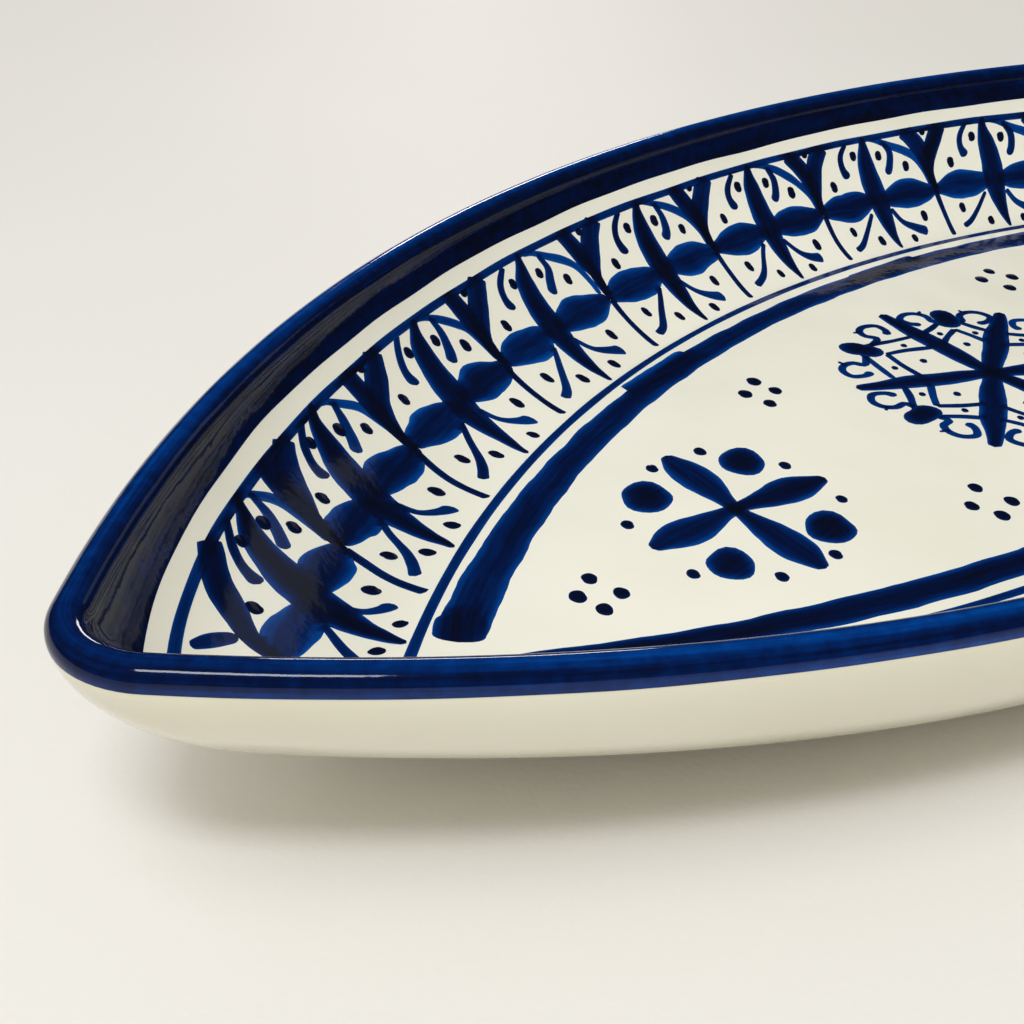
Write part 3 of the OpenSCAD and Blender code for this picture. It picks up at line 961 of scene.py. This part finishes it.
def border():
    builds = {node: Build() for node in BORDER_NODES}
    dots_build = Build()
    sides = []
    for side in (1, -1):
        made, dots = border_strokes()
        everything = [s for strokes in made.values() for s in strokes]
        line = line_stroke(side)
        place = wall_place(side)
        for node, strokes in made.items():
            for s in strokes:
                lay_stroke(builds[node], s, place, everything + [line])
        for centre, slant in dots:
            lay_dab(dots_build, centre, rng.uniform(1.05, 1.3), place, stretch=0.22, angle=slant,
                    layer=5, dome=0.06)
        sides.append((side, everything))
    for node, build in builds.items():
        if node in DARK_NODES:
            build.make(node, "dark_cobalt_paint", DENSE_BLUE)
        else:
            build.make(node, "cobalt_paint", STROKE_BLUE)
    dots_build.make("border_dots", "ink_dots", INK_BLUE)
    middle, half = line_middle(ROUND)
    painted_hoop("border_line", middle, half, sides, 0.66, 0.4, 2)


# ---- Lines and flowers on the floor ----

THIN_A = FLOOR_A - 1.1
THIN_B = FLOOR_B - 1.3
THIN_TIP = 4.0
THIN_HALF = 0.9
BAND_A = (144.4, 135.9)
BAND_B = (49.5, 43.3)
# Where the brush was loaded again or pressed harder, as pairs of (x, y, half width)
BAND_LOADS = [
    ((-138.0, 2.8, 4.0), (-132.5, 7.6, 4.4)),
    ((-60.0, 41.2, 2.9), (-38.0, 44.8, 3.2)),
    ((18.0, 46.2, 3.0), (40.0, 44.6, 2.8)),
]


def turned(points, hand):
    """The second half of a motif is the first turned half round."""
    return [(hand * x, hand * y, *rest) for x, y, *rest in points]


def floor_line(v, a, b, r):
    x, y = outline(v, a, b, r)
    return np.stack([x, y], -1)


def thin_line():
    half = THIN_HALF + wobble(ROUND, 0.12, 21)
    build = Build()
    xy = np.stack([
        floor_line(ROUND, THIN_A - c * half, THIN_B - c * half, THIN_TIP - c * half) for c in ACROSS
    ])
    share = np.broadcast_to(ACROSS[:, None], xy.shape[:2])
    height = FLOOR_Z + lifts(share, 0)
    top = np.concatenate([xy, height[..., None]], -1)
    under = np.concatenate([xy, np.full_like(height, FLOOR_Z + UNDERSIDE)[..., None]], -1)
    normals = np.broadcast_to([0.0, 0.0, 1.0], top.shape)
    load = 0.4 + 0.26 * (1 - np.abs(share) ** 3)
    # Rows run inwards here, so they go in backwards to keep the skin right side out
    hoop(build, top[::-1], under[::-1], normals, load,
         streak_of(np.broadcast_to(ROUND, share.shape), share * 0.8, 9.0)[::-1])
    return build.make("thin_line", "cobalt_paint", STROKE_BLUE)


def band_stroke(hand):
    """One side's floor band: it starts as a full dab at one tip and thins out at the other."""
    v = np.concatenate([np.linspace(1.955, 1.2, 14), np.linspace(1.1, 0.12, 14), [0.05, 0.02]])
    part = np.linspace(0, 1, len(v))
    outer = floor_line(v, BAND_A[0], BAND_B[0], 3.0)
    inner = floor_line(v, BAND_A[1], BAND_B[1], 2.5)
    middle = (outer + inner) / 2
    half = np.linalg.norm(outer - inner, axis=1) / 2
    full = np.clip((1 - part) / 0.22, 0.12, 1) ** 0.7
    toward = (outer - inner) / np.maximum(2 * half[:, None], 1e-6)
    middle = middle + toward * (half * (1 - full))[:, None] * 0.3
    half = half * full + rng.normal(0, 0.06, len(v))
    stations = [(x, y, w) for (x, y), w in zip(hand * middle, half)]
    return Stroke(stations, count=150, cap=(0.35, 1.0), core=0.9, rim=0.32, wander=0.1)


def floor_band():
    build = Build()
    strokes = []
    for hand in (1, -1):
        strokes.append(band_stroke(hand))
        for start, end in BAND_LOADS:
            strokes.append(Stroke(turned([start, end], hand), count=16, cap=(0.4, 0.5), core=0.6,
                                  rim=0.15, layer=1, wander=0.0))
    for s in strokes:
        lay_stroke(build, s, floor_place, strokes)
    return build.make("floor_band", "cobalt_paint", STROKE_BLUE)


MEDALLION = (0.5, 1.0)
PETAL_ANGLES = [28.8, 78.4, 153.0, 213.0, 270.0, 331.0]
PETAL_LENGTHS = [30.7, 31.4, 29.2, 31.4, 30.5, 31.0]


def polar(angle, radius, centre=MEDALLION):
    t = math.radians(angle)
    return centre[0] + radius * math.cos(t), centre[1] + radius * math.sin(t)


def petal_stations(centre, angle, length, widths):
    return [(*polar(angle, length * share, centre), w) for share, w in widths]


PETAL_WIDTHS = [(-0.04, 1.2), (0.15, 2.2), (0.42, 2.75), (0.65, 2.55), (0.85, 1.75), (1.0, 1.2)]
# Two rungs on either side of each gap, as angles from its middle and radii
RUNGS = [
    [(0, 20.5), (9, 17.6), (17, 15.6), (25, 14.2)],
    [(3, 25.4), (9, 23.2), (16, 21.4), (25, 20.2)],
]
RUNG_HALF = 0.8
HOOK_MIDDLE = (17.5, 26.2)
HOOK_TURNS = (195, 150, 105, 60, 10, -45, -100)
HOOK_RADIUS = 3.3
HOOK_END_RADIUS = 2.5
SPUR_TURN = 118


class Gap:
    """The space between two petals of the medallion."""

    def __init__(self, index):
        start = PETAL_ANGLES[index]
        last = index == len(PETAL_ANGLES) - 1
        end = PETAL_ANGLES[0] + 360 if last else PETAL_ANGLES[index + 1]
        self.middle = (start + end) / 2
        self.spread = (end - start) / 60

    def at(self, angle, radius):
        return polar(self.middle + angle * self.spread, radius)

    def rung(self, hand, places):
        stations = [
            (*self.at(hand * a, r), RUNG_HALF * rng.uniform(0.85, 1.15)) for a, r in places
        ]
        return Stroke(stations, count=20, core=0.66, rim=0.4, cap=(0.6, 0.8), wander=0.08)

    def hook_direction(self, hand, turn):
        """A unit step off a hook's middle. The two hooks of a gap mirror each other."""
        t = math.radians(self.middle - 90 + (turn if hand < 0 else 180 - turn))
        return np.array([math.cos(t), math.sin(t)])

    def hook(self, hand, centre):
        stations = [(*self.at(hand * 5, 24.4), 0.7)]
        for turn in HOOK_TURNS:
            radius = HOOK_RADIUS if turn > -40 else HOOK_END_RADIUS
            place = centre + radius * self.hook_direction(hand, turn)
            stations.append((*place, 0.85 if turn > -90 else 1.15))
        return Stroke(stations, count=34, core=0.66, rim=0.36, layer=1, cap=(0.6, 1.0), wander=0.1)

    def spur(self, hand, centre):
        step = self.hook_direction(hand, SPUR_TURN)
        stations = [(*(centre + 3.0 * step), 0.5), (*(centre + 4.9 * step), 0.35)]
        return Stroke(stations, count=10, core=0.66, rim=0.4, layer=1)


def small_dot(build, centre, radius):
    lay_dab(build, centre, radius, floor_place, angle=0.8, core=0.8, rim=0.5)


def medallion():
    petals = Build()
    lattice = Build()
    curls = Build()
    dabs = Build()
    dots = Build()
    petal_strokes = [
        Stroke(petal_stations(MEDALLION, angle, length, PETAL_WIDTHS), count=30, core=0.9, rim=0.28,
               layer=3, cap=(1.0, 0.8))
        for angle, length in zip(PETAL_ANGLES, PETAL_LENGTHS)
    ]
    rungs = []
    hooks = []
    for index in range(len(PETAL_ANGLES)):
        gap = Gap(index)
        for hand in (1, -1):
            rungs.extend(gap.rung(hand, places) for places in RUNGS)
            centre = np.array(gap.at(hand * HOOK_MIDDLE[0], HOOK_MIDDLE[1]))
            hooks.append(gap.hook(hand, centre))
            hooks.append(gap.spur(hand, centre))
            small_dot(dots, gap.at(hand * 14, 18.8), 0.8)
        small_dot(dots, gap.at(0, 13.2), 0.9)
        lay_dab(dabs, gap.at(0, 25.6), 3.7, floor_place, stretch=0.26,
                angle=math.radians(gap.middle), core=0.95, rim=0.5, layer=2, dome=0.05)
    everything = petal_strokes + rungs + hooks
    for build, strokes in ((petals, petal_strokes), (lattice, rungs), (curls, hooks)):
        for s in strokes:
            lay_stroke(build, s, floor_place, everything)
    petals.make("medallion_petals", "dark_cobalt_paint", DENSE_BLUE)
    lattice.make("medallion_lattice", "cobalt_paint", STROKE_BLUE)
    curls.make("medallion_curls", "cobalt_paint", STROKE_BLUE)
    dabs.make("medallion_dabs", "ink_dots", INK_BLUE)
    dots.make("medallion_dots", "ink_dots", INK_BLUE)


FLOWER = (-78.0, 0.5)
FLOWER_WIDTHS = [(-0.05, 1.2), (0.14, 1.9), (0.38, 3.3), (0.58, 3.95), (0.76, 3.5), (0.9, 2.1),
                 (1.0, 1.1)]
FLOWER_TIPS = [(-58.4, -2.8), (-73.4, 20.2), (-98.0, 1.4), (-81.5, -20.4)]
FLOWER_DABS = [(-86.8, 12.6, 5.0), (-65.0, 10.0, 4.7), (-92.0, -10.0, 4.5), (-71.2, -13.6, 4.9)]
FLOWER_DOTS = [(-78.6, 18.8), (-67.6, 17.4), (-60.1, 4.4), (-62.0, -9.1), (-77.0, -19.0),
               (-88.6, -17.4), (-98.5, -7.8), (-95.5, 8.9)]


def flowers():
    petals = Build()
    dabs = Build()
    dots = Build()
    for hand in (1, -1):
        strokes = []
        for tip in FLOWER_TIPS:
            reach = np.subtract(tip, FLOWER)
            angle = math.degrees(math.atan2(reach[1], reach[0]))
            stations = petal_stations(FLOWER, angle, np.linalg.norm(reach), FLOWER_WIDTHS)
            strokes.append(Stroke(turned(stations, hand), count=30, core=0.9, rim=0.28, layer=2,
                                  cap=(1.0, 0.6)))
        for s in strokes:
            lay_stroke(petals, s, floor_place, strokes)
        brush = math.radians(38 if hand > 0 else 218)  # the way every dab was pulled
        for x, y, radius in turned(FLOWER_DABS, hand):
            lay_dab(dabs, (x, y), radius * 0.94, floor_place, stretch=0.05, point=0.24,
                    angle=brush + rng.normal(0, 0.12), core=0.95, rim=0.28, dome=0.05, round_to=4)
        for x, y in turned(FLOWER_DOTS, hand):
            lay_dab(dots, (x, y), rng.uniform(1.15, 1.35), floor_place, stretch=0.14,
                    angle=math.radians(60), core=0.92, rim=0.6, dome=0.06)
    petals.make("flower_petals", "dark_cobalt_paint", DENSE_BLUE)
    dabs.make("flower_dabs", "cobalt_paint", STROKE_BLUE)
    dots.make("flower_dots", "ink_dots", INK_BLUE)


CLUSTERS = [
    [(-116.5, -0.4), (-111.6, 1.9), (-115.9, -5.4), (-110.8, -4.1)],
    [(-43.8, 26.6), (-38.4, 28.9), (-43.3, 21.1), (-38.3, 23.8)],
    [(-47.1, -24.9), (-41.3, -21.9), (-45.9, -30.0), (-40.5, -28.5)],
]


def clusters():
    build = Build()
    for hand in (1, -1):
        for cluster in CLUSTERS:
            for x, y in turned(cluster, hand):
                lay_dab(build, (x, y), rng.uniform(1.4, 1.65), floor_place, stretch=0.12,
                        angle=math.radians(60), core=0.96, rim=0.7, dome=0.09)
    build.make("cluster_dots", "ink_dots", INK_BLUE)


clay_body()
foot_ring()
inside_glaze()
outside_glaze()
rim_band()
border()
thin_line()
floor_band()
medallion()
flowers()
clusters()


# ---- Stage, lights and camera ----


TABLE_HALF = 6.0
ROOM_COLOUR = (1.0, 0.98, 0.88, 1.0)
ROOM_STRENGTH = 0.66
# Each light's place, target and size in metres, its power in watts, and its colour
SOFTBOX = ((-0.75, -0.1, 1.5), (0.0, 0.0, 0.0), (0.7, 0.7), 6.0, (0.9, 0.93, 1.0))
WINDOW = ((0.88, 1.12, 0.4), (-0.1, 0.0, 0.0), (0.36, 0.14), 2.0, (1.0, 0.93, 0.95))
PANE = ((1.08, 0.2, 0.46), (-0.13, 0.03, 0.0), (0.3, 0.2), 0.08, (0.9, 0.96, 1.0))
LAMP = ((-0.72, -0.41, 1.27), (-0.19, 0.0, 0.0), (0.5, 0.22), 8.0, (0.92, 0.95, 1.0))
# The camera's place in millimetres, its height over the dish's floor, and its angles in degrees
CAMERA_X = -265.015
CAMERA_Y = -136.265
CAMERA_RISE = 135.166
YAW = 45.4035
PITCH = 30.9775
ROLL = 1.9807
LENS = 56.38


def stage_floor():
    nodes = Nodes("pale_table")
    where = nodes.place()
    tone = nodes.noise(where, 3.0, 3.0)
    colour = nodes.ramp(tone, [(0.3, linear(226, 223, 219)), (0.7, linear(231, 228, 224))])
    nodes.set(nodes.shader, "Base Color", colour)
    nodes.shader.inputs["Roughness"].default_value = 0.6
    nodes.set(nodes.shader, "Normal", nodes.bump(nodes.noise(where, 700.0, 2.0), 0.00005))
    mesh = bpy.data.meshes.new("table")
    signs = ((-1, -1), (1, -1), (1, 1), (-1, 1))
    corners = [(TABLE_HALF * x, TABLE_HALF * y, 0.0) for x, y in signs]
    mesh.from_pydata(corners, [], [(0, 1, 2, 3)])
    mesh.materials.append(nodes.material)
    table = bpy.data.objects.new("table", mesh)
    bpy.context.scene.collection.objects.link(table)


def area_light(name, place, target, size, power, colour):
    lamp = bpy.data.lights.new(name, "AREA")
    lamp.shape = "RECTANGLE"
    lamp.size, lamp.size_y = size
    lamp.energy = power
    lamp.color = colour
    made = bpy.data.objects.new(name, lamp)
    made.location = place
    made.rotation_euler = (Vector(target) - Vector(place)).to_track_quat("-Z", "Y").to_euler()
    bpy.context.scene.collection.objects.link(made)
    return made


def lights():
    """Soft light. The room and the softbox light the dish but don't show as reflections in its
    gloss, which keeps the cobalt deep; the window, the pane and the lamp make the highlights."""
    world = bpy.data.worlds.new("soft_room")
    world.use_nodes = True
    room = world.node_tree.nodes["Background"]
    room.inputs["Color"].default_value = ROOM_COLOUR
    room.inputs["Strength"].default_value = ROOM_STRENGTH
    world.cycles_visibility.glossy = False
    bpy.context.scene.world = world
    softbox = area_light("softbox", *SOFTBOX)
    softbox.visible_glossy = False
    area_light("window", *WINDOW)
    area_light("pane", *PANE)
    area_light("lamp", *LAMP)


def camera():
    """Close over the -X tip, looking along the dish."""
    yaw, pitch, roll = (math.radians(angle) for angle in (YAW, PITCH, ROLL))
    data = bpy.data.cameras.new("viewpoint")
    data.sensor_width = 36.0
    data.lens = LENS
    data.clip_start = 0.005
    made = bpy.data.objects.new("viewpoint", data)
    flat = math.cos(pitch)
    ahead = Vector((flat * math.cos(yaw), flat * math.sin(yaw), -math.sin(pitch)))
    level = Vector((math.sin(yaw), -math.cos(yaw), 0.0))
    over = level.cross(ahead)
    right = math.cos(roll) * level + math.sin(roll) * over
    up = math.cos(roll) * over - math.sin(roll) * level
    place = Vector((CAMERA_X, CAMERA_Y, CAMERA_RISE + FLOOR_Z)) * MM
    turn = Matrix((right, up, -ahead)).transposed()
    made.matrix_world = Matrix.Translation(place) @ turn.to_4x4()
    bpy.context.scene.collection.objects.link(made)
    bpy.context.scene.camera = made


stage_floor()
lights()
camera()
bpy.context.scene.view_settings.view_transform = "Standard"
